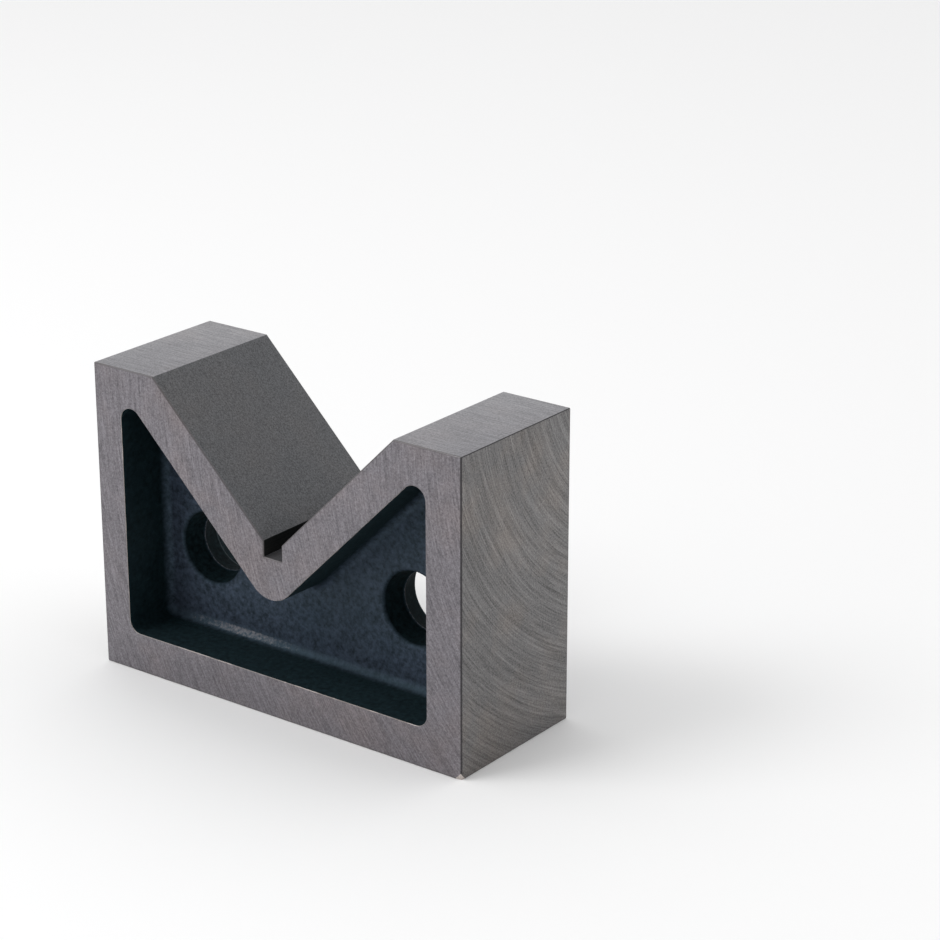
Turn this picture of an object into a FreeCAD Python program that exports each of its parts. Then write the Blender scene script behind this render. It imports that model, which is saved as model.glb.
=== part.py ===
import FreeCAD, Part
import math
import os
import Sketcher

# One cast-iron v block: a ribbed casting with a 90 degree vee across its top,
# a relief slot along the vee's root, a cast pocket in each broad face and two
# cast holes through the web between the pockets.
# Frame: origin at the middle of the base, X along the length, Y through the
# thickness from the front face to the back face, Z up. Millimetres.

SIZES = {
    "block_length": 152.4,
    "block_height": 107.95,
    "block_thickness": 57.15,
    "vee_mouth": 100.0,
    "vee_angle": 90.0,
    "slot_width": 7.6,
    "slot_depth": 5.6,
    "web_thickness": 17.15,
    "end_wall": 12.45,
    "floor_wall": 13.8,
    "vee_wall": 14.4,
    "core_shift": -1.25,
    "corner_radius": 4.5,
    "horn_width": 6.6,
    "horn_flat": 0.2,
    "nose_radius": 10.0,
    "web_fillet": 3.0,
    "hole_to_end": 32.8,
    "hole_height": 42.9,
    "hole_mouth_radius": 12.6,
    "hole_ridge_radius": 10.8,
    "hole_ridge_land": 1.2,
    "hole_rim_radius": 1.2,
    "edge_break": 0.45,
}

NODE = "v_block"
# Two points closer than this are taken as the same place when edges are found.
SAME_PLACE = 0.01

doc = FreeCAD.newDocument("v_block")
sheet = doc.addObject("Spreadsheet::Sheet", "Sizes")
for row, (alias, value) in enumerate(SIZES.items(), start=1):
    sheet.set("A%d" % row, alias)
    sheet.set("B%d" % row, str(value))
    sheet.setAlias("B%d" % row, alias)
doc.recompute()

body = doc.addObject("PartDesign::Body", "VBlock")
body.Label = NODE
body.Placement = FreeCAD.Placement()


def size(alias):
    """The number that the sheet holds under this name."""
    return float(sheet.get(alias))


def origin_feature(role):
    """The body's own origin plane or axis with this role."""
    return next(item for item in body.Origin.OriginFeatures if item.Role == role)


def new_sketch(name, role, offset=None):
    """A sketch on an origin plane, moved along the plane's normal by an expression."""
    sketch = body.newObject("Sketcher::SketchObject", name)
    sketch.AttachmentSupport = [(origin_feature(role), "")]
    sketch.MapMode = "FlatFace"
    if offset:
        sketch.setExpression("AttachmentOffset.Base.z", offset)
    return sketch


def draw_loop(sketch, points):
    """Closes straight lines through the points, which are FreeCAD vectors."""
    count = len(points)
    for index, start in enumerate(points):
        sketch.addGeometry(Part.LineSegment(start, points[(index + 1) % count]), False)
    for index in range(count):
        sketch.addConstraint(
            Sketcher.Constraint("Coincident", index, 2, (index + 1) % count, 1))


def place_point(sketch, line, end, across, up):
    """Ties one end of a line to the sketch's origin by two named, bound distances."""
    for kind, label, expression in (("DistanceX", "across", across), ("DistanceY", "up", up)):
        point = sketch.getPoint(line, end)
        start = point.x if kind == "DistanceX" else point.y
        number = sketch.addConstraint(Sketcher.Constraint(kind, -1, 1, line, end, start))
        name = "%s_%d" % (label, line)
        sketch.renameConstraint(number, name)
        sketch.setExpression("Constraints." + name, expression)


def bound_loop(name, role, corners, offset=None):
    """A sketch of one closed loop. Each corner is (x, y, x expression, y expression)."""
    sketch = new_sketch(name, role, offset)
    draw_loop(sketch, [FreeCAD.Vector(x, y, 0) for x, y, _, _ in corners])
    for line, (_, _, across, up) in enumerate(corners):
        place_point(sketch, line, 1, across, up)
    return sketch


def checked(feature, less=None):
    """Recomputes and stops if the feature failed, or cut nothing where it should cut."""
    body.Tip = feature
    doc.recompute()
    shape = feature.Shape
    if shape.isNull() or not shape.isValid():
        raise RuntimeError(feature.Name + " has no valid shape")
    if less is not None and shape.Volume >= less:
        raise RuntimeError(feature.Name + " cut nothing")
    return feature


# The blank: a rectangle on the front-facing plane, padded evenly to both sides.
half_length = size("block_length") / 2
height = size("block_height")
half_thickness = size("block_thickness") / 2
blank_outline = bound_loop("BlankOutline", "XZ_Plane", [
    (-half_length, 0, "-Sizes.block_length / 2", "0"),
    (half_length, 0, "Sizes.block_length / 2", "0"),
    (half_length, height, "Sizes.block_length / 2", "Sizes.block_height"),
    (-half_length, height, "-Sizes.block_length / 2", "Sizes.block_height"),
])
blank = body.newObject("PartDesign::Pad", "Blank")
blank.Profile = blank_outline
blank.SideType = "Symmetric"
blank.setExpression("Length", "Sizes.block_thickness")
checked(blank)

# The vee: a triangle whose mouth lies in the top face, cut right through.
half_mouth = size("vee_mouth") / 2
half_angle = math.radians(size("vee_angle") / 2)
root_height = height - half_mouth / math.tan(half_angle)
ROOT_HEIGHT = "(Sizes.block_height - Sizes.vee_mouth / 2 / tan(Sizes.vee_angle / 2 * 1deg))"
vee_outline = bound_loop("VeeOutline", "XZ_Plane", [
    (-half_mouth, height, "-Sizes.vee_mouth / 2", "Sizes.block_height"),
    (0, root_height, "0", ROOT_HEIGHT),
    (half_mouth, height, "Sizes.vee_mouth / 2", "Sizes.block_height"),
])
vee = body.newObject("PartDesign::Pocket", "Vee")
vee.Profile = vee_outline
vee.SideType = "Symmetric"
vee.setExpression("Length", "Sizes.block_thickness")
checked(vee, less=blank.Shape.Volume)

# The relief slot: its depth counts down from where its walls meet the vee.
half_slot = size("slot_width") / 2
slot_top = root_height + half_slot / math.tan(half_angle)
SLOT_TOP = "(%s + Sizes.slot_width / 2 / tan(Sizes.vee_angle / 2 * 1deg))" % ROOT_HEIGHT
slot_outline = bound_loop("SlotOutline", "XZ_Plane", [
    (-half_slot, slot_top - size("slot_depth"), "-Sizes.slot_width / 2",
     SLOT_TOP + " - Sizes.slot_depth"),
    (half_slot, slot_top - size("slot_depth"), "Sizes.slot_width / 2",
     SLOT_TOP + " - Sizes.slot_depth"),
    (half_slot, slot_top, "Sizes.slot_width / 2", SLOT_TOP),
    (-half_slot, slot_top, "-Sizes.slot_width / 2", SLOT_TOP),
])
slot = body.newObject("PartDesign::Pocket", "ReliefSlot")
slot.Profile = slot_outline
slot.SideType = "Symmetric"
slot.setExpression("Length", "Sizes.block_thickness")
checked(slot, less=vee.Shape.Volume)

# The front pocket follows the block's outline at the wall thicknesses. It is
# drawn with sharp corners. Beside the vee it runs up into two horns, and each
# ends where it has narrowed to the horn's width. The core sat a little to one
# side in the mould, so it is off centre.
half_core = half_length - size("end_wall")
core_root = root_height - size("vee_wall") / math.sin(half_angle)
horn_width = size("horn_width")
horn_top = core_root + (half_core - horn_width) / math.tan(half_angle)
shift = size("core_shift")
HALF_CORE = "(Sizes.block_length / 2 - Sizes.end_wall)"
CORE_ROOT = "(%s - Sizes.vee_wall / sin(Sizes.vee_angle / 2 * 1deg))" % ROOT_HEIGHT
HORN_TOP = "%s + (%s - Sizes.horn_width) / tan(Sizes.vee_angle / 2 * 1deg)" % (
    CORE_ROOT, HALF_CORE)
core_outline = bound_loop("CoreOutline", "XZ_Plane", [
    (shift - half_core, size("floor_wall"), "Sizes.core_shift - " + HALF_CORE,
     "Sizes.floor_wall"),
    (shift + half_core, size("floor_wall"), "Sizes.core_shift + " + HALF_CORE,
     "Sizes.floor_wall"),
    (shift + half_core, horn_top, "Sizes.core_shift + " + HALF_CORE, HORN_TOP),
    (shift + half_core - horn_width, horn_top,
     "Sizes.core_shift + %s - Sizes.horn_width" % HALF_CORE, HORN_TOP),
    (shift, core_root, "Sizes.core_shift", CORE_ROOT),
    (shift - half_core + horn_width, horn_top,
     "Sizes.core_shift - %s + Sizes.horn_width" % HALF_CORE, HORN_TOP),
    (shift - half_core, horn_top, "Sizes.core_shift - " + HALF_CORE, HORN_TOP),
], offset="Sizes.block_thickness / 2")
core = body.newObject("PartDesign::Pocket", "FrontPocket")
core.Profile = core_outline
core.setExpression("Length", "(Sizes.block_thickness - Sizes.web_thickness) / 2")
checked(core, less=slot.Shape.Volume)

# The back pocket is the same core on the other side of the web.
both_cores = body.newObject("PartDesign::Mirrored", "BackPocket")
both_cores.Originals = [core]
both_cores.MirrorPlane = (origin_feature("XZ_Plane"), [""])
checked(both_cores, less=core.Shape.Volume)

half_web = size("web_thickness") / 2


def on_plane(value, distance):
    """Whether a coordinate lies at this distance to either side of zero."""
    return abs(abs(value) - distance) < SAME_PLACE


def edge_names(shape, test):
    """The names of a shape's edges that pass a test, as features refer to them."""
    return ["Edge%d" % number for number, edge in enumerate(shape.Edges, start=1) if test(edge)]


def runs_web_to_face(edge):
    """Whether an edge is a pocket corner, from the web out to a broad face."""
    levels = sorted(abs(vertex.Y) for vertex in edge.Vertexes)
    return (len(levels) == 2 and abs(levels[0] - half_web) < SAME_PLACE
            and abs(levels[1] - half_thickness) < SAME_PLACE)


def corner_place(edge):
    """Which pocket corner an edge is: the nose under the vee, a horn or the floor."""
    middle = edge.CenterOfMass
    if abs(middle.x - shift) < half_core / 4:
        return "nose"
    return "horn" if middle.z > core_root else "floor"


def round_edges(name, base, names, radius):
    """A fillet of one bound radius on the named edges."""
    fillet = body.newObject("PartDesign::Fillet", name)
    fillet.Base = (base, names)
    fillet.setExpression("Radius", radius)
    return checked(fillet)


# A horn's two corners share its width, apart from the short flat between them.
HORN_RADIUS = ("(Sizes.horn_width - Sizes.horn_flat)"
               " / (1 + tan((90 - Sizes.vee_angle / 2) / 2 * 1deg))")
last = both_cores
for place, radius in (("floor", "Sizes.corner_radius"), ("horn", HORN_RADIUS),
                      ("nose", "Sizes.nose_radius")):
    names = edge_names(
        last.Shape, lambda edge: runs_web_to_face(edge) and corner_place(edge) == place)
    last = round_edges(place.title() + "Corners", last, names, radius)


def lies_on_web(edge):
    """Whether an edge lies wholly in one face of the web."""
    box = edge.BoundBox
    return box.YLength < SAME_PLACE and on_plane(box.YMin, half_web)


web_round = round_edges(
    "WebFillet", last, edge_names(last.Shape, lies_on_web), "Sizes.web_fillet")

# Each cast hole tapers from both web faces to a narrow ridge where the mould
# halves met. Half of its section is turned about an axis through the web.
mouth = size("hole_mouth_radius")
ridge = size("hole_ridge_radius")
half_land = size("hole_ridge_land") / 2
axis_x = shift - half_length + size("hole_to_end")
AXIS_X = "Sizes.core_shift - Sizes.block_length / 2 + Sizes.hole_to_end"
hole_section = bound_loop("HoleSection", "XY_Plane", [
    (axis_x, -half_web, AXIS_X, "-Sizes.web_thickness / 2"),
    (axis_x + mouth, -half_web, AXIS_X + " + Sizes.hole_mouth_radius",
     "-Sizes.web_thickness / 2"),
    (axis_x + ridge, -half_land, AXIS_X + " + Sizes.hole_ridge_radius",
     "-Sizes.hole_ridge_land / 2"),
    (axis_x + ridge, half_land, AXIS_X + " + Sizes.hole_ridge_radius",
     "Sizes.hole_ridge_land / 2"),
    (axis_x + mouth, half_web, AXIS_X + " + Sizes.hole_mouth_radius",
     "Sizes.web_thickness / 2"),
    (axis_x, half_web, AXIS_X, "Sizes.web_thickness / 2"),
], offset="Sizes.hole_height")
hole = body.newObject("PartDesign::Groove", "LeftHole")
hole.Profile = hole_section
# The section's last line lies along the hole's axis.
hole.ReferenceAxis = (hole_section, ["Edge6"])
hole.Angle = 360.0
checked(hole, less=web_round.Shape.Volume)

holes = body.newObject("PartDesign::LinearPattern", "BothHoles")
holes.Originals = [hole]
holes.Direction = (origin_feature("X_Axis"), [""])
holes.setExpression("Length", "Sizes.block_length - 2 * Sizes.hole_to_end")
holes.Occurrences = 2
checked(holes, less=hole.Shape.Volume)


def is_hole_mouth(edge):
    """Whether an edge is the round mouth of a hole, in one face of the web."""
    return (lies_on_web(edge) and isinstance(edge.Curve, Part.Circle)
            and abs(edge.Curve.Radius - mouth) < SAME_PLACE)


rims = round_edges(
    "HoleRims", holes, edge_names(holes.Shape, is_hole_mouth), "Sizes.hole_rim_radius")


# The machined outside has its sharp edges just broken, the pocket rims none.
def is_outside_edge(edge):
    """Whether an edge bounds a broad face outside, or is a long edge that a hand meets."""
    box = edge.BoundBox
    middle = edge.CenterOfMass
    at_end = on_plane(middle.x, half_length)
    at_level = abs(middle.z) < SAME_PLACE or abs(middle.z - height) < SAME_PLACE
    at_mouth = on_plane(middle.x, half_mouth) and abs(middle.z - height) < SAME_PLACE
    if box.YLength < SAME_PLACE:
        in_face = on_plane(middle.y, half_thickness)
        depth = middle.z - root_height
        on_vee = abs(abs(middle.x) - depth * math.tan(half_angle)) < SAME_PLACE
        return in_face and (at_end or at_level or on_vee)
    return (at_end and at_level) or at_mouth


breaks = body.newObject("PartDesign::Chamfer", "EdgeBreaks")
breaks.Base = (rims, edge_names(rims.Shape, is_outside_edge))
breaks.setExpression("Size", "Sizes.edge_break")
checked(breaks, less=rims.Shape.Volume)

doc.recompute()
for item in doc.Objects:
    if "Invalid" in item.State or "Error" in item.State:
        raise RuntimeError("failed: " + item.Name)
shape = body.Shape
if shape.isNull() or not shape.isValid() or len(shape.Solids) != 1:
    raise RuntimeError("the block is not one valid solid")

box = shape.optimalBoundingBox(False, False)
print("box %.3f x %.3f x %.3f mm" % (box.XLength, box.YLength, box.ZLength))
print("volume %.0f mm3, faces %d" % (shape.Volume, len(shape.Faces)))

os.makedirs("parts", exist_ok=True)
shape.exportStep("parts/%s.step" % NODE)
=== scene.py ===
# %% [markdown]
# A cast-iron v block, dressed. The block is one casting: a rough, painted core
# pocket in each broad face, and an outside that was milled and then ground. The
# solid model gives its size and place. This file gives it the finish that each
# surface has, and the roughness that the mould left in the pockets.

import math

import bmesh
import bpy
import numpy as np
from mathutils import Euler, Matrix, Vector, geometry, noise


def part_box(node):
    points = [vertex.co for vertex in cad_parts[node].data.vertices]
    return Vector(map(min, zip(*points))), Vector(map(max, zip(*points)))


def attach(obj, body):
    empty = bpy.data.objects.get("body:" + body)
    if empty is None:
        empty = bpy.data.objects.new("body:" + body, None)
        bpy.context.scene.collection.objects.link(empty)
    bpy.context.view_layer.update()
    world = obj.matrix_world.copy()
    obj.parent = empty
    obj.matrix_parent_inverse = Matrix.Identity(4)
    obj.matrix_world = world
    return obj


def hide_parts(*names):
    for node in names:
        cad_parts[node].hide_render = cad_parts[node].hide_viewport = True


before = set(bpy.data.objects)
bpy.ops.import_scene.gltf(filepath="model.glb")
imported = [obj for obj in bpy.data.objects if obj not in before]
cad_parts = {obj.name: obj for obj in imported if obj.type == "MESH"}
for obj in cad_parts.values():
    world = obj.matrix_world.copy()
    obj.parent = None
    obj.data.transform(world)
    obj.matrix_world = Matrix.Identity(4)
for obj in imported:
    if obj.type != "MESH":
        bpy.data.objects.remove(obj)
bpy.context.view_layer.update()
BLOCK_LOW, BLOCK_HIGH = (Vector(corner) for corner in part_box("v_block"))
print("block box in metres:", [round(value, 5) for value in (*BLOCK_LOW, *BLOCK_HIGH)])

# %% [markdown]
# The camera stands where the photographer's did, a little above the block and to
# its right, with a long lens. It could be aimed level and shifted, as a view
# camera is. It is tilted down instead, so that the same camera serves every view.

# %% Camera
CAMERA_PLACE = Vector((0.5553, -0.6600, 0.3996))
CAMERA_TURN = math.radians(37.0)
CAMERA_TILT = math.radians(20.454)
FOCAL_PIXELS = 2816.8
PHOTO_WIDTH_PIXELS = 940

camera_data = bpy.data.cameras.new("camera")
camera_data.sensor_width = 36.0
camera_data.lens = FOCAL_PIXELS / PHOTO_WIDTH_PIXELS * camera_data.sensor_width
camera = bpy.data.objects.new("camera", camera_data)
camera.location = CAMERA_PLACE
camera.rotation_euler = Euler((math.pi / 2 - CAMERA_TILT, 0, CAMERA_TURN))
bpy.context.collection.objects.link(camera)
bpy.context.scene.camera = camera
print("lens in mm:", round(camera_data.lens, 1))

# %% [markdown]
# Nodes are made over and over below. Two small helpers keep that readable: one
# adds a node and sets its named inputs, the other opens a node group and gives it
# named inputs and outputs.

# %% Node helpers
FLOAT = "NodeSocketFloat"
COLOUR = "NodeSocketColor"
VECTOR = "NodeSocketVector"


def add(tree, kind, inputs=None, **settings):
    """Adds a shader node. An input is a number, a colour or another node's output."""
    made = tree.nodes.new("ShaderNode" + kind)
    for name, value in settings.items():
        setattr(made, name, value)
    for name, value in (inputs or {}).items():
        socket = made.inputs[name]
        if isinstance(value, bpy.types.NodeSocket):
            tree.links.new(value, socket)
        else:
            socket.default_value = value
    return made


def maths(tree, operation, first, second=0.0, clamp=False):
    """One arithmetic step, as an output socket."""
    made = add(tree, "Math", {0: first, 1: second}, operation=operation, use_clamp=clamp)
    return made.outputs[0]


def mix(tree, factor, low, high, blend="MIX"):
    """A colour between two colours, as an output socket."""
    made = add(tree, "Mix", data_type="RGBA", blend_type=blend)
    for name, value in (("Factor", factor), ("A", low), ("B", high)):
        socket = next(item for item in made.inputs
                      if item.name == name and item.enabled and item.type != "VECTOR")
        if isinstance(value, bpy.types.NodeSocket):
            tree.links.new(value, socket)
        else:
            socket.default_value = value
    return next(item for item in made.outputs if item.enabled)


def group(name, inputs, outputs):
    """A node group with named sockets. Returns it with its inlet and outlet nodes."""
    tree = bpy.data.node_groups.new(name, "ShaderNodeTree")
    for label, kind, value in inputs:
        socket = tree.interface.new_socket(label, in_out="INPUT", socket_type=kind)
        socket.default_value = value
    for label, kind in outputs:
        tree.interface.new_socket(label, in_out="OUTPUT", socket_type=kind)
    return tree, tree.nodes.new("NodeGroupInput"), tree.nodes.new("NodeGroupOutput")


def place(tree, made_group, inputs):
    """Places a node group in a material with its own values."""
    made = tree.nodes.new("ShaderNodeGroup")
    made.node_tree = made_group
    for name, value in inputs.items():
        if isinstance(value, bpy.types.NodeSocket):
            tree.links.new(value, made.inputs[name])
        else:
            made.inputs[name].default_value = value
    return made.outputs


# %% [markdown]
# A face mill leaves its path as many fine arcs about the cutter's centre. They
# could be cut into the mesh, but each is only microns deep. So they are a noise
# that is stretched along circles: it is fast across the radius and slow along it.
# Where a wider noise of the same kind crosses its middle value, a thin ridge is
# drawn, which is the mark of one tooth that stood a little proud. The arcs lie
# in a plane, so the distance from the cutter is measured in that plane alone, and
# both faces or both ends get arcs of the same width.

# %% Cutter arcs
cutter_arcs, inlet, outlet = group(
    "Cutter arcs",
    [("Centre", VECTOR, (0, 0, 0)), ("Plane", VECTOR, (1, 0, 1)),
     ("Line Width", FLOAT, 0.0005), ("Line Length", FLOAT, 0.02), ("Ridges", FLOAT, 0.0)],
    [("Lines", FLOAT)])
RIDGE_PITCH = 0.35
RIDGE_WIDTH = 0.035
spot = add(cutter_arcs, "TexCoord").outputs["Object"]
arm = add(cutter_arcs, "VectorMath", {0: spot, 1: inlet.outputs["Centre"]},
          operation="SUBTRACT").outputs["Vector"]
arm = add(cutter_arcs, "VectorMath", {0: arm, 1: inlet.outputs["Plane"]},
          operation="MULTIPLY").outputs["Vector"]
reach = add(cutter_arcs, "VectorMath", {0: arm}, operation="LENGTH").outputs["Value"]
across = maths(cutter_arcs, "DIVIDE", reach, inlet.outputs["Line Width"])
apart = add(cutter_arcs, "SeparateXYZ", {"Vector": arm}).outputs
sideways = maths(cutter_arcs, "ADD", apart["X"], apart["Y"])
along = maths(cutter_arcs, "DIVIDE", sideways, inlet.outputs["Line Length"])
up = maths(cutter_arcs, "DIVIDE", apart["Z"], inlet.outputs["Line Length"])
stretched = add(cutter_arcs, "CombineXYZ", {"X": across, "Y": along, "Z": up})
arc_noise = add(cutter_arcs, "TexNoise", {"Vector": stretched.outputs[0], "Scale": 1.0,
                                          "Detail": 3.0, "Roughness": 0.6})
wide = add(cutter_arcs, "VectorMath", {0: stretched.outputs[0], "Scale": RIDGE_PITCH},
           operation="SCALE").outputs["Vector"]
ridge_noise = add(cutter_arcs, "TexNoise", {"Vector": wide, "Scale": 1.0,
                                            "Detail": 1.0, "Roughness": 0.5})
off_middle = maths(cutter_arcs, "ABSOLUTE",
                   maths(cutter_arcs, "SUBTRACT", ridge_noise.outputs["Fac"], 0.5))
ridge = add(cutter_arcs, "MapRange", {"Value": off_middle, "From Max": RIDGE_WIDTH,
                                      "To Min": 1.0, "To Max": 0.0}).outputs["Result"]
ridges = maths(cutter_arcs, "MULTIPLY", ridge, inlet.outputs["Ridges"])
lines = maths(cutter_arcs, "ADD", arc_noise.outputs["Fac"], ridges)
cutter_arcs.links.new(lines, outlet.inputs["Lines"])
print("group:", cutter_arcs.name)

# %% [markdown]
# A surface grinder leaves straight lines, so its noise is stretched along one
# direction instead. The direction across the lines is an input, because the lands
# and the vee faces were ground at different settings.

# %% Grinding lines
grinding_lines, inlet, outlet = group(
    "Grinding lines",
    [("Across", VECTOR, (0, 1, 0)), ("Line Width", FLOAT, 0.0003),
     ("Line Length", FLOAT, 0.02)],
    [("Lines", FLOAT)])
spot = add(grinding_lines, "TexCoord").outputs["Object"]
reach = add(grinding_lines, "VectorMath", {0: spot, 1: inlet.outputs["Across"]},
            operation="DOT_PRODUCT").outputs["Value"]
across = maths(grinding_lines, "DIVIDE", reach, inlet.outputs["Line Width"])
shrink = maths(grinding_lines, "DIVIDE", 1.0, inlet.outputs["Line Length"])
slow = add(grinding_lines, "VectorMath", {0: spot, "Scale": shrink}, operation="SCALE")
apart = add(grinding_lines, "SeparateXYZ", {"Vector": slow.outputs["Vector"]}).outputs
stretched = add(grinding_lines, "CombineXYZ", {
    "X": across, "Y": maths(grinding_lines, "ADD", apart["X"], apart["Y"]), "Z": apart["Z"]})
line_noise = add(grinding_lines, "TexNoise", {"Vector": stretched.outputs[0], "Scale": 1.0,
                                              "Detail": 2.0, "Roughness": 0.55})
grinding_lines.links.new(line_noise.outputs["Fac"], outlet.inputs["Lines"])
print("group:", grinding_lines.name)

# %% [markdown]
# Grey iron is full of graphite, so even a ground face is a fine mottle of lighter
# and darker grains, with slow blotches where oil and handling have stained it. One
# group mixes grains, blotches and tool lines into a colour and a height.

# %% Iron tone
iron_tone, inlet, outlet = group(
    "Iron tone",
    [("Colour", COLOUR, (0.2, 0.2, 0.2, 1)), ("Stain", COLOUR, (0.2, 0.16, 0.13, 1)),
     ("Lines", FLOAT, 0.5), ("Line Strength", FLOAT, 0.3), ("Grain Strength", FLOAT, 0.3),
     ("Blotch Strength", FLOAT, 0.2), ("Stain Amount", FLOAT, 0.2)],
    [("Colour", COLOUR), ("Height", FLOAT)])
GRAIN_SCALE = 1800.0
BLOTCH_SCALE = 38.0
spot = add(iron_tone, "TexCoord").outputs["Object"]
grain = add(iron_tone, "TexNoise", {"Vector": spot, "Scale": GRAIN_SCALE, "Detail": 3.0,
                                    "Roughness": 0.7}).outputs["Fac"]
blotch = add(iron_tone, "TexNoise", {"Vector": spot, "Scale": BLOTCH_SCALE, "Detail": 4.0,
                                     "Roughness": 0.6}).outputs["Fac"]


def swing(value, strength):
    """A noise turned into a swing about zero of a given strength."""
    return maths(iron_tone, "MULTIPLY", maths(iron_tone, "SUBTRACT", value, 0.5), strength)


swings = maths(iron_tone, "ADD", swing(inlet.outputs["Lines"], inlet.outputs["Line Strength"]),
               swing(grain, inlet.outputs["Grain Strength"]))
height = maths(iron_tone, "ADD", swings, 0.5)
swings = maths(iron_tone, "ADD", swings, swing(blotch, inlet.outputs["Blotch Strength"]))
brightness = maths(iron_tone, "ADD", swings, 1.0)
stain_edge = add(iron_tone, "MapRange", {"Value": blotch, "From Min": 0.45, "From Max": 0.7})
stain = maths(iron_tone, "MULTIPLY", stain_edge.outputs["Result"],
              inlet.outputs["Stain Amount"], clamp=True)
stained = mix(iron_tone, stain, inlet.outputs["Colour"], inlet.outputs["Stain"])
toned = add(iron_tone, "VectorMath", {0: stained, "Scale": brightness}, operation="SCALE")
iron_tone.links.new(toned.outputs["Vector"], outlet.inputs["Colour"])
iron_tone.links.new(height, outlet.inputs["Height"])
print("group:", iron_tone.name)

# %% [markdown]
# The cast surface under the paint is sand grain: round lumps of many sizes. Its
# large lumps are in the mesh. This group adds the fine ones as a height, and a
# slow tone that makes the paint lighter in some places than in others.

# %% Sand skin
sand_skin, inlet, outlet = group(
    "Sand skin", [("Lump Size", FLOAT, 0.001)], [("Height", FLOAT), ("Tone", FLOAT)])
TONE_LUMPS = 14.0
spot = add(sand_skin, "TexCoord").outputs["Object"]
scale = maths(sand_skin, "DIVIDE", 1.0, inlet.outputs["Lump Size"])
lumps = add(sand_skin, "TexNoise", {"Vector": spot, "Scale": scale, "Detail": 5.0,
                                    "Roughness": 0.62}).outputs["Fac"]
slow_scale = maths(sand_skin, "DIVIDE", scale, TONE_LUMPS)
tone = add(sand_skin, "TexNoise", {"Vector": spot, "Scale": slow_scale, "Detail": 3.0,
                                   "Roughness": 0.5}).outputs["Fac"]
sand_skin.links.new(lumps, outlet.inputs["Height"])
sand_skin.links.new(tone, outlet.inputs["Tone"])
print("group:", sand_skin.name)

# %% [markdown]
# Each machined surface is the same iron with its own tool marks, so one function
# builds the material and each surface gives its colour, its lines and how strong
# they are. The shader itself stays in the material.

# %% Machined iron
IRON_METALLIC = 0.85
TOOL_MARK_DEPTH = 0.00003
# Most values of a noise lie between these two.
NOISE_LOW = 0.3
NOISE_HIGH = 0.7


def machined(name, colour, stain, roughness, lines_group, lines_inputs, strengths, bump):
    """A material of machined iron with one set of tool lines.

    Roughness is a low and a high value. The strengths are those of the lines, the
    grain, the blotches and the stain.
    """
    material = bpy.data.materials.new(name)
    material.use_nodes = True
    tree = material.node_tree
    shader = tree.nodes["Principled BSDF"]
    lines = place(tree, lines_group, lines_inputs)["Lines"]
    tone = place(tree, iron_tone, {
        "Colour": (*colour, 1), "Stain": (*stain, 1), "Lines": lines,
        "Line Strength": strengths[0], "Grain Strength": strengths[1],
        "Blotch Strength": strengths[2], "Stain Amount": strengths[3]})
    tree.links.new(tone["Colour"], shader.inputs["Base Color"])
    low, high = roughness
    rough = add(tree, "MapRange", {
        "Value": tone["Height"], "From Min": NOISE_LOW, "From Max": NOISE_HIGH,
        "To Min": high, "To Max": low})
    tree.links.new(rough.outputs["Result"], shader.inputs["Roughness"])
    relief = add(tree, "Bump", {"Height": tone["Height"], "Strength": bump,
                                "Distance": TOOL_MARK_DEPTH})
    tree.links.new(relief.outputs["Normal"], shader.inputs["Normal"])
    shader.inputs["Metallic"].default_value = IRON_METALLIC
    return material


print("iron is metallic by:", IRON_METALLIC)

# %% [markdown]
# The broad faces were milled with the cutter's centre beyond the right end, and the
# ends with it above and behind the block, so their arcs bend different ways. The
# ends show more ridges, and their darker colour is painted shade. A plane of
# (0, 1, 1) leaves the length out of the distance.

# %% Milled surfaces
FACE_CUTTER_CENTRE = (0.180, 0.0, 0.110)
END_CUTTER_CENTRE = (0.0762, 0.078, 0.131)

milled_face = machined(
    "milled_face", (0.207, 0.195, 0.212), (0.22, 0.175, 0.165), (0.42, 0.56), cutter_arcs,
    {"Centre": FACE_CUTTER_CENTRE, "Line Width": 0.00055, "Line Length": 0.010,
     "Ridges": 0.04},
    (1.15, 1.50, 0.30, 0.35), 0.5)
# The ends' darker colour is painted shade.
milled_end_painted_shade = machined(
    "milled_end_painted_shade", (0.170, 0.166, 0.166), (0.238, 0.200, 0.172), (0.40, 0.54), cutter_arcs,
    {"Centre": END_CUTTER_CENTRE, "Plane": (0.0, 1.0, 1.0), "Line Width": 0.0006,
     "Line Length": 0.022, "Ridges": 0.14},
    (1.35, 1.80, 0.26, 0.40), 0.5)
print("milled:", milled_face.name, milled_end_painted_shade.name)

# %% [markdown]
# The lands and the vee were ground after milling. The lands shine and show fine
# lines. The vee is duller and shows hardly a line, and its darker colour is painted shade.

# %% Ground surfaces
ground_land = machined(
    "ground_land", (0.250, 0.246, 0.262), (0.28, 0.245, 0.245), (0.34, 0.46), grinding_lines,
    {"Across": (0.0, 1.0, 0.0), "Line Width": 0.0005, "Line Length": 0.015},
    (0.75, 1.25, 0.25, 0.25), 0.4)
# The vee's dark colour is painted shade.
ground_vee_painted_shade = machined(
    "ground_vee_painted_shade", (0.118, 0.120, 0.126), (0.125, 0.108, 0.10), (0.48, 0.60), grinding_lines,
    {"Across": (0.0, 1.0, 0.0), "Line Width": 0.0005, "Line Length": 0.006},
    (0.25, 1.75, 0.22, 0.20), 0.35)
print("ground:", ground_land.name, ground_vee_painted_shade.name)
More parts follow.
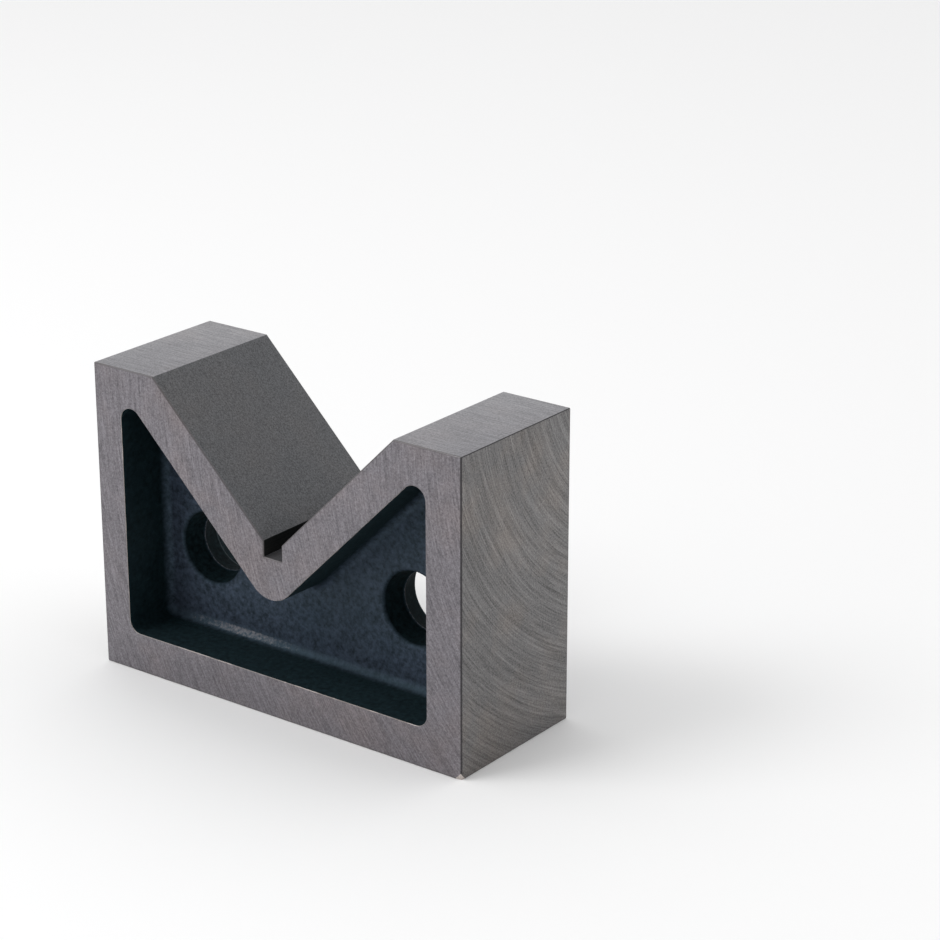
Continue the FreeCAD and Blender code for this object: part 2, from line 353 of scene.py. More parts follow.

# %% [markdown]
# The slot was cut with a narrow wheel. Its dark colours, darkest on its sides, are
# painted shade. The outer edges were broken, so that they don't cut a hand, and
# those of the ends were filed and are darker. Bare iron shows bright where the mill
# cut the pocket's rim and where a corner was knocked. The grinding lines serve for
# these too, at other angles.

# %% Slot, edges and bare iron
# Both slot finishes below have dark colours that are painted shade.
slot_floor_painted_shade = machined(
    "slot_floor", (0.095, 0.095, 0.102), (0.07, 0.06, 0.055), (0.45, 0.60), grinding_lines,
    {"Across": (1.0, 0.0, 0.0), "Line Width": 0.0004, "Line Length": 0.03},
    (0.9, 0.9, 0.5, 0.4), 0.5)
slot_side_painted_shade = machined(
    "slot_side_with_painted_shade", (0.018, 0.020, 0.020), (0.03, 0.026, 0.024), (0.60, 0.75), grinding_lines,
    {"Across": (0.0, 0.0, 1.0), "Line Width": 0.0004, "Line Length": 0.03},
    (0.9, 0.9, 0.5, 0.4), 0.5)
broken_edge = machined(
    "broken_edge", (0.15, 0.143, 0.148), (0.10, 0.085, 0.08), (0.40, 0.55), grinding_lines,
    {"Across": (0.0, 1.0, 1.0), "Line Width": 0.0006, "Line Length": 0.01},
    (0.5, 0.5, 0.5, 0.4), 0.3)
filed_edge = machined(
    "filed_edge", (0.070, 0.068, 0.072), (0.06, 0.05, 0.045), (0.50, 0.65), grinding_lines,
    {"Across": (0.0, 1.0, 1.0), "Line Width": 0.0006, "Line Length": 0.01},
    (0.5, 0.8, 0.6, 0.4), 0.3)
bright_iron = machined(
    "bright_iron", (0.56, 0.52, 0.50), (0.42, 0.34, 0.29), (0.35, 0.55), grinding_lines,
    {"Across": (1.0, 1.0, 1.0), "Line Width": 0.0005, "Line Length": 0.002},
    (0.5, 0.6, 0.4, 0.5), 0.5)
MACHINED = [milled_face, milled_end_painted_shade, ground_land, ground_vee_painted_shade, slot_floor_painted_shade,
            slot_side_painted_shade, broken_edge, filed_edge, bright_iron]
print("machined finishes:", len(MACHINED))

# %% [markdown]
# The pockets were never machined. They carry a blue-black paint over the sand
# skin. The web shows the paint's own colour; on the walls and in the throats of the
# holes it is darkened as painted shade. It has rubbed down to a pale dust where the
# floor meets the web, and off the ridge in the holes. Along the floor fillet a
# lighter blue band is partly rubbed paint and partly painted sheen. Two values
# stored on the mesh say where shade is painted and where wear and painted sheen
# lie, so that both follow the shape, and noise breaks the wear into patches.

# %% Worn paint, painted shade and painted sheen
UNSHADED_PAINT = ((0.020, 0.029, 0.045, 1), (0.039, 0.048, 0.070, 1))
SHADED_RECESS_PAINT = ((0.0035, 0.008, 0.010, 1), (0.007, 0.015, 0.018, 1))
RUBBED_PAINT_AND_SHEEN = (0.050, 0.074, 0.100, 1)
DUST = ((0.130, 0.145, 0.170, 1), (0.280, 0.250, 0.260, 1))
RUBBED_AND_SHEEN_SHARE = 0.6

worn_paint_with_painted_light, inlet, outlet = group(
    "Worn paint with painted light",
    [("Tone", FLOAT, 0.5), ("Height", FLOAT, 0.5), ("Speckle", FLOAT, 0.5),
     ("Worn And Sheen", FLOAT, 0.0), ("Recess Shade", FLOAT, 0.0)],
    [("Colour", COLOUR), ("Roughness", FLOAT)])
tone, worn_and_sheen, recess_shade = (inlet.outputs[label] for label in ("Tone", "Worn And Sheen", "Recess Shade"))
# Walls and hole throats get a darker colour that is painted shade; the web keeps the paint's
# own colour.
paint_with_recess_shade = mix(worn_paint_with_painted_light, recess_shade, mix(worn_paint_with_painted_light, tone, *UNSHADED_PAINT),
            mix(worn_paint_with_painted_light, tone, *SHADED_RECESS_PAINT))
mottle = add(worn_paint_with_painted_light, "MapRange", {
    "Value": inlet.outputs["Height"], "From Min": NOISE_LOW, "From Max": NOISE_HIGH,
    "To Min": 0.3, "To Max": 1.8}).outputs["Result"]
mottled = add(worn_paint_with_painted_light, "VectorMath", {0: paint_with_recess_shade, "Scale": mottle},
              operation="SCALE").outputs["Vector"]
# Along the floor fillet this lighter blue is partly rubbed paint and partly painted sheen.
rubbed_and_sheen = mix(worn_paint_with_painted_light, maths(worn_paint_with_painted_light, "MULTIPLY", worn_and_sheen, RUBBED_AND_SHEEN_SHARE), mottled,
             RUBBED_PAINT_AND_SHEEN)
speckled = maths(worn_paint_with_painted_light, "MULTIPLY", worn_and_sheen, inlet.outputs["Speckle"])
patches = add(worn_paint_with_painted_light, "MapRange", {"Value": speckled, "From Min": 0.33,
                                       "From Max": 0.60}).outputs["Result"]
coat = mix(worn_paint_with_painted_light, patches, rubbed_and_sheen, mix(worn_paint_with_painted_light, tone, *DUST))
dullness = add(worn_paint_with_painted_light, "MapRange", {"Value": recess_shade, "To Min": 0.50, "To Max": 0.75})
worn_paint_with_painted_light.links.new(coat, outlet.inputs["Colour"])
worn_paint_with_painted_light.links.new(dullness.outputs["Result"], outlet.inputs["Roughness"])
print("group:", worn_paint_with_painted_light.name)

# %% [markdown]
# The paint in the pocket has a faint sheen with a blue tint. In the holes it is
# nearly matt, so that their throats stay dark. One function makes both materials.

# %% Painted skin
PAINT_LUMP = 0.0016
SPECKLE_LUMP = 0.0011
PAINT_RELIEF = 0.00025
SHEEN_TINT = (0.50, 0.85, 1.0, 1)
POCKET_GLOSS = 0.28
THROAT_GLOSS = 0.06


def painted(name, gloss):
    """A material of blue-black paint over the cast skin, with a given gloss."""
    material = bpy.data.materials.new(name)
    material.use_nodes = True
    tree = material.node_tree
    shader = tree.nodes["Principled BSDF"]
    skin = place(tree, sand_skin, {"Lump Size": PAINT_LUMP})
    coat = place(tree, worn_paint_with_painted_light, {
        "Tone": skin["Tone"], "Height": skin["Height"],
        "Speckle": place(tree, sand_skin, {"Lump Size": SPECKLE_LUMP})["Height"],
        "Worn And Sheen": add(tree, "Attribute", attribute_name="worn_and_sheen").outputs["Fac"],
        "Recess Shade": add(tree, "Attribute", attribute_name="recess_shade").outputs["Fac"]})
    tree.links.new(coat["Colour"], shader.inputs["Base Color"])
    tree.links.new(coat["Roughness"], shader.inputs["Roughness"])
    relief = add(tree, "Bump", {"Height": skin["Height"], "Strength": 0.7,
                                "Distance": PAINT_RELIEF})
    tree.links.new(relief.outputs["Normal"], shader.inputs["Normal"])
    shader.inputs["Specular IOR Level"].default_value = gloss
    shader.inputs["Specular Tint"].default_value = SHEEN_TINT
    return material


pocket_paint = painted("pocket_paint", POCKET_GLOSS)
throat_paint = painted("throat_paint", THROAT_GLOSS)
print("painted finishes:", pocket_paint.name, throat_paint.name)

# %% [markdown]
# The casting's mesh is drawn afresh on the frame's box, at the sizes of the
# solid model. A copy of that model's facets would serve for the flat outside, but
# its long slivers can't carry the sand skin. Here the cast surfaces are even grids
# and nets of small faces. Sizes are in metres. The shape is drawn as two outlines
# in the plane of the broad faces: the block's own, and the pocket's.

# %% Sizes of the casting
MM = 0.001
half_length = (BLOCK_HIGH.x - BLOCK_LOW.x) / 2
half_thickness = (BLOCK_HIGH.y - BLOCK_LOW.y) / 2
block_height = BLOCK_HIGH.z - BLOCK_LOW.z
VEE_MOUTH = 100 * MM
SLOT_WIDTH = 7.6 * MM
SLOT_DEPTH = 5.6 * MM
WEB_THICKNESS = 17.15 * MM
END_WALL = 12.45 * MM
FLOOR_WALL = 13.8 * MM
VEE_WALL = 14.4 * MM
CORE_SHIFT = -1.25 * MM
FLOOR_CORNER = 4.5 * MM
HORN_WIDTH = 6.6 * MM
HORN_RADIUS = 4.5 * MM
NOSE_RADIUS = 10 * MM
WEB_FILLET = 3 * MM
EDGE_BREAK = 0.45 * MM

# The vee is a right angle, so its faces rise as fast as they spread.
half_mouth = VEE_MOUTH / 2
half_slot = SLOT_WIDTH / 2
root_height = block_height - half_mouth
slot_top = root_height + half_slot
slot_floor = slot_top - SLOT_DEPTH
half_core = half_length - END_WALL
core_root = root_height - VEE_WALL * math.sqrt(2)
horn_top = core_root + half_core - HORN_WIDTH
half_web = WEB_THICKNESS / 2
print("vee root at mm:", round(root_height / MM, 2))

# %% [markdown]
# An outline is a list of sharp corners with a radius each. Moving it inward by an
# inset shrinks the radius of a corner that points out and grows that of one that
# points in, as a fillet does in metal. Every inset gives the same count of points,
# so two insets can be joined by a strip of faces.

# %% Rounded outlines
LEAST_RADIUS = 0.01 * MM


def corner_arc(before, here, after, radius, inset, steps):
    """Points round one corner of an outline, which runs anticlockwise."""
    into = (here - before).normalized()
    out = (after - here).normalized()
    left_in = Vector((-into.y, into.x))
    left_out = Vector((-out.y, out.x))
    turn = math.atan2(into.x * out.y - into.y * out.x, into.dot(out))
    side = 1 if turn > 0 else -1
    shared = (left_in + left_out) / (1 + left_in.dot(left_out))
    size = max(radius - side * inset, LEAST_RADIUS)
    centre = here + shared * (inset + side * size)
    points = []
    for step in range(steps + 1):
        angle = turn * step / steps
        spoke = Vector((left_in.x * math.cos(angle) - left_in.y * math.sin(angle),
                        left_in.x * math.sin(angle) + left_in.y * math.cos(angle)))
        points.append(centre - spoke * side * size)
    return points


def outline(corners, inset, spacing):
    """The outline's points, with the same count at every inset."""
    count = len(corners)
    places = [Vector(corner[:2]) for corner in corners]

    def arcs(by):
        return [corner_arc(places[index - 1], places[index], places[(index + 1) % count],
                           corners[index][2], by, corners[index][3])
                for index in range(count)]

    plain = arcs(0)
    moved = arcs(inset)
    points = []
    for index in range(count):
        following = (index + 1) % count
        run = (plain[following][0] - plain[index][-1]).length
        cuts = max(1, round(run / spacing))
        start, end = moved[index][-1], moved[following][0]
        points.extend(moved[index])
        points.extend(start.lerp(end, cut / cuts) for cut in range(1, cuts))
    return points


SLOT_LIP_RADIUS = 0.15 * MM
SLOT_FOOT_RADIUS = 0.3 * MM
BREAK_STEPS = 4
SLOT_STEPS = 2
ROUND_STEPS = 10
HORN_STEPS = 5
NOSE_STEPS = 16

# Each corner is x, z, its radius and how many steps turn it.
block_corners = [
    (-half_length, 0, EDGE_BREAK, BREAK_STEPS), (half_length, 0, EDGE_BREAK, BREAK_STEPS),
    (half_length, block_height, EDGE_BREAK, BREAK_STEPS),
    (half_mouth, block_height, EDGE_BREAK, BREAK_STEPS),
    (half_slot, slot_top, SLOT_LIP_RADIUS, SLOT_STEPS),
    (half_slot, slot_floor, SLOT_FOOT_RADIUS, SLOT_STEPS),
    (-half_slot, slot_floor, SLOT_FOOT_RADIUS, SLOT_STEPS),
    (-half_slot, slot_top, SLOT_LIP_RADIUS, SLOT_STEPS),
    (-half_mouth, block_height, EDGE_BREAK, BREAK_STEPS),
    (-half_length, block_height, EDGE_BREAK, BREAK_STEPS),
]
core_corners = [
    (CORE_SHIFT - half_core, FLOOR_WALL, FLOOR_CORNER, ROUND_STEPS),
    (CORE_SHIFT + half_core, FLOOR_WALL, FLOOR_CORNER, ROUND_STEPS),
    (CORE_SHIFT + half_core, horn_top, HORN_RADIUS, ROUND_STEPS),
    (CORE_SHIFT + half_core - HORN_WIDTH, horn_top, HORN_RADIUS, HORN_STEPS),
    (CORE_SHIFT, core_root, NOSE_RADIUS, NOSE_STEPS),
    (CORE_SHIFT - half_core + HORN_WIDTH, horn_top, HORN_RADIUS, HORN_STEPS),
    (CORE_SHIFT - half_core, horn_top, HORN_RADIUS, ROUND_STEPS),
]
print("pocket outline points:", len(outline(core_corners, 0, MM)))

# %% [markdown]
# The mesh is gathered as points and faces, with a finish for each face. Strips
# join one loop of points to the next. A flat face with holes in it is filled by a
# constrained triangulation, which can also take points inside the face, so that
# the web gets an even net to roughen.

# %% Gather faces
FINISHES = [*MACHINED, pocket_paint, throat_paint]
(MILLED, END, LAND, VEE, SLOT_FLOOR, SLOT_SIDE, BROKEN, FILED, BRIGHT, PAINT,
 THROAT) = range(len(FINISHES))

cast = {"points": [], "faces": [], "finish": [], "worn_and_sheen": [], "rough": [], "recess_shade": []}


def add_loop(points, worn_and_sheen=0.0, rough=0.0, recess_shade=0.0):
    """Adds a loop of points. The wear-and-sheen value is one number, or a function of a point.
    """
    first = len(cast["points"])
    cast["points"].extend(points)
    cast["worn_and_sheen"].extend(worn_and_sheen(point) if callable(worn_and_sheen) else worn_and_sheen for point in points)
    cast["rough"].extend([rough] * len(points))
    cast["recess_shade"].extend([recess_shade] * len(points))
    return list(range(first, first + len(points)))


def add_strip(one, two, finish):
    """Joins two closed loops of the same count. Finish may be a function of a face."""
    count = len(one)
    for index in range(count):
        following = (index + 1) % count
        face = (one[index], one[following], two[following], two[index])
        cast["faces"].append(face)
        cast["finish"].append(finish(face) if callable(finish) else finish)


def inside_loops(points, loops):
    """Which points lie inside an odd number of loops, counted along a ray."""
    inside = np.zeros(len(points), bool)
    for loop in loops:
        start = np.asarray(loop)
        end = np.roll(start, -1, axis=0)
        for (ax, ay), (bx, by) in zip(start, end):
            if ay == by:
                continue
            crosses = (ay > points[:, 1]) != (by > points[:, 1])
            at = ax + (points[:, 1] - ay) * (bx - ax) / (by - ay)
            inside ^= crosses & (points[:, 0] < at)
    return inside


# The triangulation covers all that its outer loop spans, and is trimmed afterwards.
CONVEX_HULL = 0
SAME_SPOT = 1e-9


def fill_flat(loops, level, finish, inner=(), worn_and_sheen=0.0, rough=0.0):
    """Fills between loops of indices that lie at one level through the thickness."""
    flat = [[(cast["points"][item].x, cast["points"][item].z) for item in loop]
            for loop in loops]
    known = [item for loop in loops for item in loop]
    seeds = [Vector(pair) for loop in flat for pair in loop] + [Vector(pair) for pair in inner]
    edges = []
    first = 0
    for loop in loops:
        count = len(loop)
        edges.extend((first + index, first + (index + 1) % count) for index in range(count))
        first += count
    spots, _, triangles, origins, _, _ = geometry.delaunay_2d_cdt(
        seeds, edges, [], CONVEX_HULL, SAME_SPOT)
    known += add_loop([Vector((spot[0], level, spot[1])) for spot in inner], worn_and_sheen, rough)
    number = [known[origin[0]] for origin in origins]
    middles = np.array([[sum(spots[item][axis] for item in triangle) / 3 for axis in (0, 1)]
                        for triangle in triangles])
    keep = inside_loops(middles, flat)
    for triangle, kept in zip(triangles, keep):
        if kept:
            cast["faces"].append(tuple(number[item] for item in triangle))
            cast["finish"].append(finish)
    return int(keep.sum())


def at_level(points, level):
    """Outline points set at a level through the thickness."""
    return [Vector((point.x, level, point.y)) for point in points]


# %% [markdown]
# The outside runs from the front face, round its broken edge, back along the
# thickness and round the other edge. Which finish a strip has follows from where
# it is: the ends, the lands, the vee, the slot or the base.

# %% Outside
OUTSIDE_SPACING = 8 * MM
FLAT_SLACK = EDGE_BREAK * 0.15
FILED_PAST = half_length - EDGE_BREAK * 0.8


def edge_finish(face):
    """The finish of a broken edge: the edges of the ends were filed."""
    furthest = max(abs(cast["points"][item].x) for item in face)
    return FILED if furthest > FILED_PAST else BROKEN


def outside_finish(face):
    """The finish of a long strip of the outside, from its middle."""
    middle = sum((cast["points"][item] for item in face), Vector()) / len(face)
    if abs(abs(middle.x) - half_length) < FLAT_SLACK:
        return END
    if middle.z < FLAT_SLACK:
        return MILLED
    if abs(middle.z - block_height) < FLAT_SLACK:
        return LAND
    if abs(middle.x) < half_slot + FLAT_SLACK and middle.z < slot_top + FLAT_SLACK:
        return SLOT_FLOOR if middle.z < slot_floor + FLAT_SLACK else SLOT_SIDE
    if abs(middle.z - root_height - abs(middle.x)) < FLAT_SLACK:
        return VEE
    return edge_finish(face)


face_loops = {}
previous = None
for side in (-1, 1):
    turns = [step / BREAK_STEPS * math.pi / 2 for step in range(BREAK_STEPS + 1)]
    if side > 0:
        turns.reverse()
    for angle in turns:
        inset = EDGE_BREAK * (1 - math.sin(angle))
        level = side * (half_thickness - EDGE_BREAK * (1 - math.cos(angle)))
        loop = add_loop(at_level(outline(block_corners, inset, OUTSIDE_SPACING), level))
        if angle == 0:
            face_loops[side] = loop
        if previous:
            long_run = side > 0 and angle == turns[0]
            add_strip(previous, loop, outside_finish if long_run else edge_finish)
        previous = loop
print("outside faces:", len(cast["faces"]))

# %% [markdown]
# Each pocket starts at a rim where the mill cut through the paint and left a thin
# bright line. The wall then falls to the web with a little draft, so that the
# pattern could be drawn from the sand, and a fillet turns it into the web. The
# solid model's walls are straight, so the draft is made here only.

# %% Pockets
SKIN_SPACING = 0.9 * MM
RIM_WIDTH = 0.22 * MM
RIM_INSET = RIM_WIDTH * 0.6
DRAFT = math.radians(1.0)
WALL_STEPS = 18
FILLET_STEPS = 8
pocket_depth = half_thickness - half_web


def held(value):
    """A value held between nothing and one."""
    return max(0.0, min(1.0, value))


def wall_profile():
    """Inset and depth down a pocket's wall, from its rim to the web."""
    rows = [(0.0, 0.0), (RIM_INSET, RIM_WIDTH)]
    straight = pocket_depth - WEB_FILLET
    for step in range(1, WALL_STEPS + 1):
        depth = RIM_WIDTH + (straight - RIM_WIDTH) * step / WALL_STEPS
        rows.append((RIM_INSET + depth * math.tan(DRAFT), depth))
    inset = rows[-1][0]
    for step in range(1, FILLET_STEPS + 1):
        angle = step / FILLET_STEPS * math.pi / 2
        rows.append((inset + WEB_FILLET * (1 - math.cos(angle)),
                     straight + WEB_FILLET * math.sin(angle)))
    return rows


# The sand skin fades in below the rim. Wear and painted sheen start part of the way
# down the fillet, stop a little above it, and are strongest to the left of the middle.
SKIN_FADE = 2 * MM
WEAR_AND_SHEEN_START = pocket_depth - WEB_FILLET * 0.6
WEAR_AND_SHEEN_FADE = WEB_FILLET * 0.2
WEAR_AND_SHEEN_TOP = FLOOR_WALL + WEB_FILLET + 0.7 * MM
WEAR_AND_SHEEN_TOP_FADE = 0.5 * MM
RUBBED_AND_SHEEN_PLACE = -30 * MM
RUBBED_AND_SHEEN_REACH = 60 * MM
LEAST_RUBBED_AND_SHEEN = 0.5


def floor_wear_and_sheen(depth):
    """Wear and painted sheen along the fillet at the pocket's floor, for points of one row."""
    near = held((depth - WEAR_AND_SHEEN_START) / WEAR_AND_SHEEN_FADE)

    def worn_and_sheen(point):
        low = held((WEAR_AND_SHEEN_TOP - point.z) / WEAR_AND_SHEEN_TOP_FADE)
        rubbed_and_sheen = max(LEAST_RUBBED_AND_SHEEN, 1 - abs(point.x - RUBBED_AND_SHEEN_PLACE) / RUBBED_AND_SHEEN_REACH)
        return near * low * rubbed_and_sheen

    return worn_and_sheen


web_loops = {}
for side in (-1, 1):
    previous = None
    for number, (inset, depth) in enumerate(wall_profile()):
        # The last value darkens the paint down the wall as painted shade, fading out over the
        # fillet.
        loop = add_loop(at_level(outline(core_corners, inset, SKIN_SPACING),
                                 side * (half_thickness - depth)),
                        floor_wear_and_sheen(depth), held((depth - RIM_WIDTH) / SKIN_FADE),
                        held((pocket_depth - depth) / WEB_FILLET))
        if previous:
            add_strip(previous, loop, BRIGHT if number == 1 else PAINT)
        else:
            fill_flat([face_loops[side], loop], side * half_thickness, MILLED)
        previous = loop
    web_loops[side] = previous
print("faces with pockets:", len(cast["faces"]))

# %% [markdown]
# The holes were cast too, half from each side, so they narrow to a ridge at the
# middle of the web. There a thin fin of iron squeezed out where the mould halves
# met. It is uneven, so its height comes from a noise round the hole.

# %% Holes
HOLE_SPACING = 86.8 * MM
HOLE_HEIGHT = 42.9 * MM
HOLE_MOUTH = 12.6 * MM
HOLE_RIDGE = 10.8 * MM
HOLE_RIM = 1.2 * MM
HOLE_POINTS = 100
RIM_STEPS = 5
THROAT_STEPS = 7
THROAT_ROUGH = 0.8

# The fin stands on a foot, which is wider than the ridge, and a shoulder.
FIN_HALF_WIDTH = 0.6 * MM
FIN_FOOT = 0.25 * MM
FIN_SHOULDER = 0.1 * MM
SHOULDER_LEVEL = FIN_HALF_WIDTH * 0.4
SHOULDER_SHARE = 0.7
FIN_REACH = 0.3 * MM
FIN_WAVES = 3.0
FIN_WORN = 0.9
NEXT_HOLE = 7.0


def hole_rows():
    """Radius, level and how much fin, from the front mouth to the back mouth."""
    half = []
    for step in range(RIM_STEPS + 1):
        angle = step / RIM_STEPS * math.pi / 2
        half.append((HOLE_MOUTH + HOLE_RIM * (1 - math.sin(angle)),
                     half_web - HOLE_RIM * (1 - math.cos(angle)), 0.0))
    deep = half_web - HOLE_RIM
    for step in range(1, THROAT_STEPS + 1):
        share = step / THROAT_STEPS
        half.append((HOLE_MOUTH - (HOLE_MOUTH - HOLE_RIDGE - FIN_FOOT) * share,
                     deep - (deep - FIN_HALF_WIDTH) * share, 0.0))
    half.append((HOLE_RIDGE + FIN_SHOULDER, SHOULDER_LEVEL, SHOULDER_SHARE))
    front = [(radius, -level, fin) for radius, level, fin in half]
    return front + [(HOLE_RIDGE, 0.0, 1.0)] + [
        (radius, level, fin) for radius, level, fin in reversed(half)]


hole_loops = {-1: [], 1: []}
for hand in (-1, 1):
    centre = Vector((CORE_SHIFT + hand * HOLE_SPACING / 2, 0, HOLE_HEIGHT))
    rows = hole_rows()
    previous = None
    for number, (radius, level, fin) in enumerate(rows):
        points = []
        for step in range(HOLE_POINTS):
            angle = step / HOLE_POINTS * 2 * math.pi
            spoke = Vector((math.cos(angle), 0, math.sin(angle)))
            ragged = noise.noise(spoke * FIN_WAVES + Vector((hand * NEXT_HOLE, 0, 0)))
            reach = radius - fin * FIN_REACH * (0.5 + ragged)
            points.append(centre + spoke * reach + Vector((0, level, 0)))
        at_mouth = number in (0, len(rows) - 1)
        past_mouth = min(number, len(rows) - 1 - number)
        # The last value darkens the throat's paint past the mouth as painted shade.
        loop = add_loop(points, fin * FIN_WORN, 0.0 if fin else THROAT_ROUGH,
                        held(past_mouth / RIM_STEPS))
        if previous:
            add_strip(previous, loop, THROAT if past_mouth >= RIM_STEPS else PAINT)
        if at_mouth:
            hole_loops[-1 if number == 0 else 1].append(loop)
        previous = loop
print("faces with holes:", len(cast["faces"]))

# %% [markdown]
# The web is filled between the foot of the fillet and the mouths of the holes,
# with an even net of points inside.

# %% Web
NET_SPACING = 1.15 * MM
LEAST_CLEAR = NET_SPACING * 0.55


def web_net(edge_loops):
    """Points of an even net inside the web, kept a little clear of its loops."""
    pairs = [[(cast["points"][item].x, cast["points"][item].z) for item in loop]
             for loop in edge_loops]
    rim = np.array([pair for loop in pairs for pair in loop])
    low, high = rim.min(axis=0), rim.max(axis=0)
    spots = []
    row_height = NET_SPACING * math.sqrt(3) / 2
    for row in range(int((high[1] - low[1]) / row_height)):
        start = low[0] + (row % 2) * NET_SPACING / 2
        count = int((high[0] - low[0]) / NET_SPACING)
        spots.extend((start + NET_SPACING * item, low[1] + row_height * row)
                     for item in range(count))
    spots = np.array(spots)
    spots = spots[inside_loops(spots, pairs)]
    clear = [np.hypot(*(rim - spot).T).min() > LEAST_CLEAR for spot in spots]
    return spots[np.array(clear)]


for side in (-1, 1):
    loops = [web_loops[side], *hole_loops[side]]
    filled = fill_flat(loops, side * half_web, PAINT, web_net(loops),
                       floor_wear_and_sheen(pocket_depth), 1.0)
    print("web faces on side", side, ":", filled)

# %% [markdown]
# The parts of the mesh meet at shared loops, so welding them closes the casting.
# The sand skin is then pushed out along the normals: broad swells first, lumps on
# top of them. It fades out at the machined rim.

# %% Weld and roughen
WELD = 0.002 * MM
SWELL = 0.11 * MM
SWELL_SCALE = 170.0
LUMP = 0.045 * MM
LUMP_SCALE = 620.0

mesh = bpy.data.meshes.new("casting")
mesh.from_pydata([tuple(point) for point in cast["points"]], [], cast["faces"])
shape = bmesh.new()
shape.from_mesh(mesh)
for label in ("worn_and_sheen", "rough", "recess_shade"):
    layer = shape.verts.layers.float.new(label)
    for vert, value in zip(shape.verts, cast[label]):
        vert[layer] = value
rough_layer = shape.verts.layers.float["rough"]
for face, finish in zip(shape.faces, cast["finish"]):
    face.material_index = finish
bmesh.ops.remove_doubles(shape, verts=shape.verts, dist=WELD)
bmesh.ops.recalc_face_normals(shape, faces=shape.faces)
shape.normal_update()
moves = []
for vert in shape.verts:
    amount = vert[rough_layer]
    if amount:
        swell = noise.noise(vert.co * SWELL_SCALE) * SWELL
        lump = noise.noise(vert.co * LUMP_SCALE) * LUMP
        moves.append((vert, vert.normal * (swell + lump) * amount))
for vert, move in moves:
    vert.co += move
open_edges = sum(1 for edge in shape.edges if not edge.is_manifold)
print("points:", len(shape.verts), "open edges:", open_edges)

# %% [markdown]
# The lowest corner at the front right has been knocked: a flake is gone from each
# side of the upright edge and shows bright iron. A plane across the corner cuts
# each flake off, and the cut is closed again in the bright finish. How far a flake
# reaches along the length, the thickness and the height gives its plane.

# %% Chipped corner
CHIPPED_CORNER = Vector((half_length, -half_thickness, 0))
OUTWARD = Vector((1, -1, -1))
FRONT_FLAKE = Vector((2.7 * MM, 0.8 * MM, 2.7 * MM))
END_FLAKE = Vector((0.75 * MM, 2.0 * MM, 2.1 * MM))

for reach in (FRONT_FLAKE, END_FLAKE):
    normal = Vector(side / length for side, length in zip(OUTWARD, reach))
    start = CHIPPED_CORNER - Vector((OUTWARD.x * reach.x, 0, 0))
    cut = bmesh.ops.bisect_plane(
        shape, geom=shape.verts[:] + shape.edges[:] + shape.faces[:],
        plane_co=start, plane_no=normal.normalized(), clear_outer=True)
    rim = [item for item in cut["geom_cut"] if isinstance(item, bmesh.types.BMEdge)]
    closed = bmesh.ops.contextual_create(shape, geom=rim)["faces"]
    for face in closed:
        face.material_index = BRIGHT
    print("flake faces:", len(closed))
bmesh.ops.recalc_face_normals(shape, faces=shape.faces)

# %% [markdown]
# Machined flats are shaded flat and everything rounded or cast is shaded smooth,
# with sharp edges where two machined surfaces meet.

# %% Casting
SHARP_TURN = math.radians(30)

shape.to_mesh(mesh)
shape.free()
for finish in FINISHES:
    mesh.materials.append(finish)
for face in mesh.polygons:
    face.use_smooth = face.material_index in (BROKEN, FILED, PAINT, THROAT)
mesh.set_sharp_from_angle(angle=SHARP_TURN)
casting = bpy.data.objects.new("casting", mesh)
bpy.context.collection.objects.link(casting)
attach(casting, "root")
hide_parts("v_block")
mesh.calc_loop_triangles()
print("casting triangles:", len(mesh.loop_triangles))

# %% [markdown]
# The block stands on a plain matt white floor. It is there for the picture only.

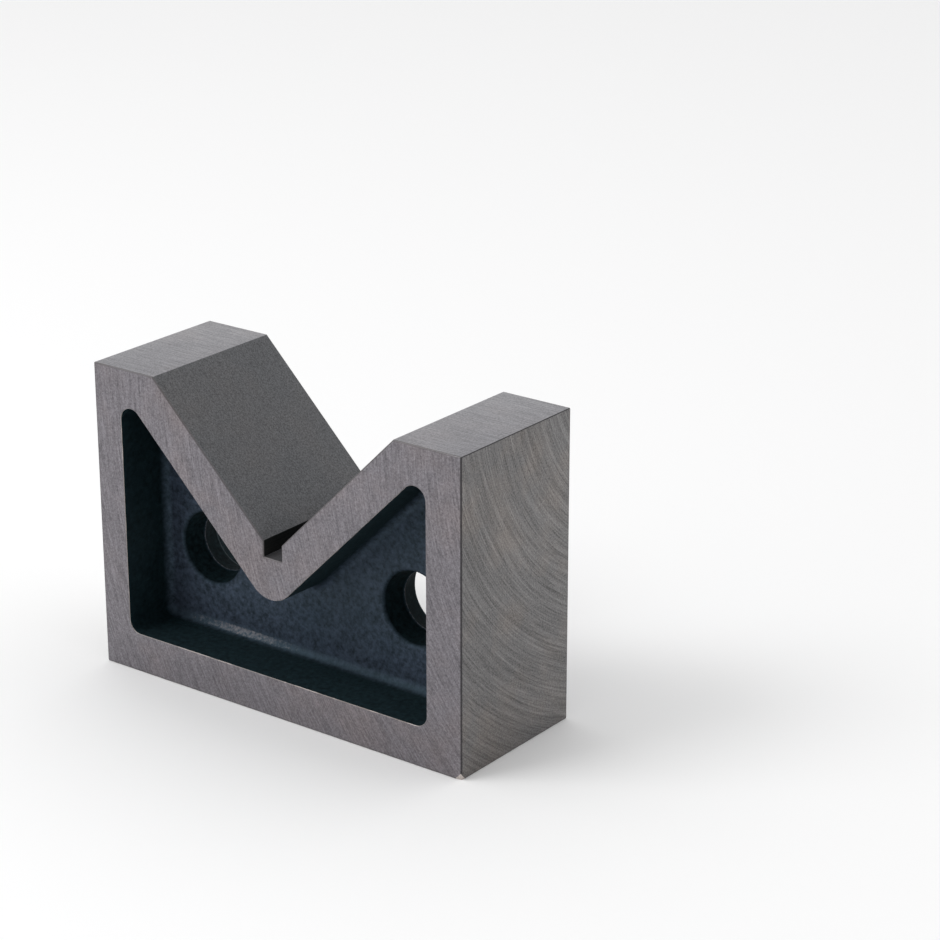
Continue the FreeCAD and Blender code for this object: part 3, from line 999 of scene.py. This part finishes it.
# %% Floor
FLOOR_REACH = 6.0
floor_mesh = bpy.data.meshes.new("floor")
floor_mesh.from_pydata(
    [(-FLOOR_REACH, -FLOOR_REACH, 0), (FLOOR_REACH, -FLOOR_REACH, 0),
     (FLOOR_REACH, FLOOR_REACH, 0), (-FLOOR_REACH, FLOOR_REACH, 0)], [], [(0, 1, 2, 3)])
floor_paint = bpy.data.materials.new("floor_paint")
floor_paint.use_nodes = True
floor_shader = floor_paint.node_tree.nodes["Principled BSDF"]
floor_shader.inputs["Base Color"].default_value = (0.96, 0.96, 0.96, 1)
floor_shader.inputs["Roughness"].default_value = 0.9
floor_shader.inputs["Specular IOR Level"].default_value = 0.1
floor_mesh.materials.append(floor_paint)
floor = bpy.data.objects.new("floor", floor_mesh)
bpy.context.collection.objects.link(floor)
print("floor reaches in metres:", FLOOR_REACH)

# %% [markdown]
# The light is soft and comes from all round. The sky is white, with a darker patch
# behind the camera, as a dim studio gives: flat iron that faces the camera would
# mirror a white one and look washed out.

# %% Sky
SKY_STRENGTH = 0.95
SKY_WHITE = (1, 1, 1, 1)
SKY_DARK = (0.25, 0.25, 0.26, 1)
DARK_SIDE = Vector((0.62, -0.72, 0.30)).normalized()

world = bpy.data.worlds.new("studio")
bpy.context.scene.world = world
world.use_nodes = True
sky = world.node_tree
backdrop = sky.nodes["Background"]
toward = add(sky, "TexCoord").outputs["Generated"]
facing = add(sky, "VectorMath", {0: toward, 1: DARK_SIDE}, operation="DOT_PRODUCT")
fade = add(sky, "MapRange", {"Value": facing.outputs["Value"], "From Min": 0.55,
                             "From Max": 0.95})
sky_colour = mix(sky, fade.outputs["Result"], SKY_WHITE, SKY_DARK)
sky.links.new(sky_colour, backdrop.inputs["Color"])
backdrop.inputs["Strength"].default_value = SKY_STRENGTH
print("sky strength:", SKY_STRENGTH)

# %% [markdown]
# A soft box above, in front and to the left gives the light a direction. It makes
# the tops and the broad face lighter than the end, whose colour also holds painted
# shade. A sun would do so too, but with hard edges to the shadows.

# %% Soft box
KEY_PLACE = (-0.7, -0.9, 1.3)
KEY_WIDTH = 0.8
KEY_POWER = 9


def soft_box(name, place, target, width, power):
    """A square area light that faces a target."""
    light = bpy.data.lights.new(name, "AREA")
    light.size = width
    light.energy = power
    made = bpy.data.objects.new(name, light)
    made.location = place
    made.rotation_euler = (Vector(target) - Vector(place)).to_track_quat("-Z", "Y").to_euler()
    bpy.context.collection.objects.link(made)
    return made


key = soft_box("key", KEY_PLACE, (0, 0, block_height / 2), KEY_WIDTH, KEY_POWER)
bpy.context.scene.view_settings.view_transform = "Standard"
print("soft box:", key.name, "power:", key.data.energy)
